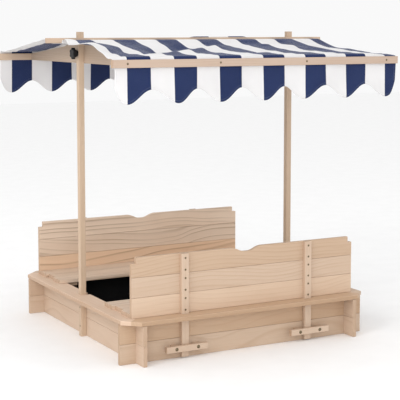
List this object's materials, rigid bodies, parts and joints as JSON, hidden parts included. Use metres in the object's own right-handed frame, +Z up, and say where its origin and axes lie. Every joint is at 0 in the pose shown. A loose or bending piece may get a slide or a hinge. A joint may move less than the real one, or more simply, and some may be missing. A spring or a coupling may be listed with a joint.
{
  "type": "sandbox with canopy",
  "caption": "Square wooden sandbox with two slatted benches, lift-out backrests that form a lid, and a tilting striped canopy with scalloped valances on two posts.",
  "frame": {"origin": "middle of the footprint, on the ground", "axes": "+X along the benches and the canopy's ridge, +Y from the front bench to the back bench, +Z up"},
  "size_m": [1.251, 1.181, 1.2],
  "materials": {
    "planed_fir": "planed and unvarnished",
    "striped_fabric": "woven, dark blue and white stripes",
    "liner_fabric": "non-woven, dull black",
    "black_plastic": "moulded, matte",
    "zinc_steel": "zinc plated"
  },
  "bodies": {
    "sandbox": {"corner_block_back_left": "planed_fir", "corner_block_back_right": "planed_fir", "corner_block_front_left": "planed_fir", "corner_block_front_right": "planed_fir", "frame_screws": "zinc_steel", "ground_liner": "liner_fabric", "keeper_back_left": "planed_fir", "keeper_back_right": "planed_fir", "keeper_bolts": "zinc_steel", "keeper_front_left": "planed_fir", "keeper_front_right": "planed_fir", "keeper_spacers": "planed_fir", "post_left": "planed_fir", "post_right": "planed_fir", "rim_back": "planed_fir", "rim_front": "planed_fir", "rim_left": "planed_fir", "rim_right": "planed_fir", "seat_back_inner": "planed_fir", "seat_back_middle": "planed_fir", "seat_back_outer": "planed_fir", "seat_batten_back_left": "planed_fir", "seat_batten_back_right": "planed_fir", "seat_batten_front_left": "planed_fir", "seat_batten_front_right": "planed_fir", "seat_front_inner": "planed_fir", "seat_front_middle": "planed_fir", "seat_front_outer": "planed_fir", "wall_back_lower": "planed_fir", "wall_back_upper": "planed_fir", "wall_front_lower": "planed_fir", "wall_front_upper": "planed_fir", "wall_left_lower": "planed_fir", "wall_left_upper": "planed_fir", "wall_right_lower": "planed_fir", "wall_right_upper": "planed_fir"},
    "backrest_front": {"backrest_batten_front_left": "planed_fir", "backrest_batten_front_right": "planed_fir", "backrest_front_lower": "planed_fir", "backrest_front_middle": "planed_fir", "backrest_front_upper": "planed_fir", "backrest_screws_front": "zinc_steel"},
    "backrest_back": {"backrest_back_lower": "planed_fir", "backrest_back_middle": "planed_fir", "backrest_back_upper": "planed_fir", "backrest_batten_back_left": "planed_fir", "backrest_batten_back_right": "planed_fir", "backrest_screws_back": "zinc_steel"},
    "canopy": {"canopy_cloth": "striped_fabric", "canopy_screws": "zinc_steel", "gable_left": "planed_fir", "gable_right": "planed_fir", "rail_back_inner": "planed_fir", "rail_back_outer": "planed_fir", "rail_front_inner": "planed_fir", "rail_front_outer": "planed_fir", "ridge_strip": "planed_fir", "tilt_bolts": "zinc_steel"},
    "knob_left": {"knob_left": "black_plastic"},
    "knob_right": {"knob_right": "black_plastic"}
  },
  "joints": [
    {"name": "backrest_front_lift", "type": "slide", "parent": "sandbox", "child": "backrest_front", "axis": [0, 0, 1], "range_m": [0, 0.17]},
    {"name": "backrest_back_lift", "type": "slide", "parent": "sandbox", "child": "backrest_back", "axis": [0, 0, 1], "range_m": [0, 0.17]},
    {"name": "canopy_tilt", "type": "hinge", "parent": "sandbox", "child": "canopy", "pos_m": [0, 0, 1.117], "axis": [1, 0, 0], "range_deg": [0, 20]},
    {"name": "knob_left_turn", "type": "hinge", "parent": "canopy", "child": "knob_left", "pos_m": [-0.5, 0, 1.117], "axis": [-1, 0, 0], "continuous": true},
    {"name": "knob_right_turn", "type": "hinge", "parent": "canopy", "child": "knob_right", "pos_m": [0.5, 0, 1.117], "axis": [1, 0, 0], "continuous": true}
  ]
}
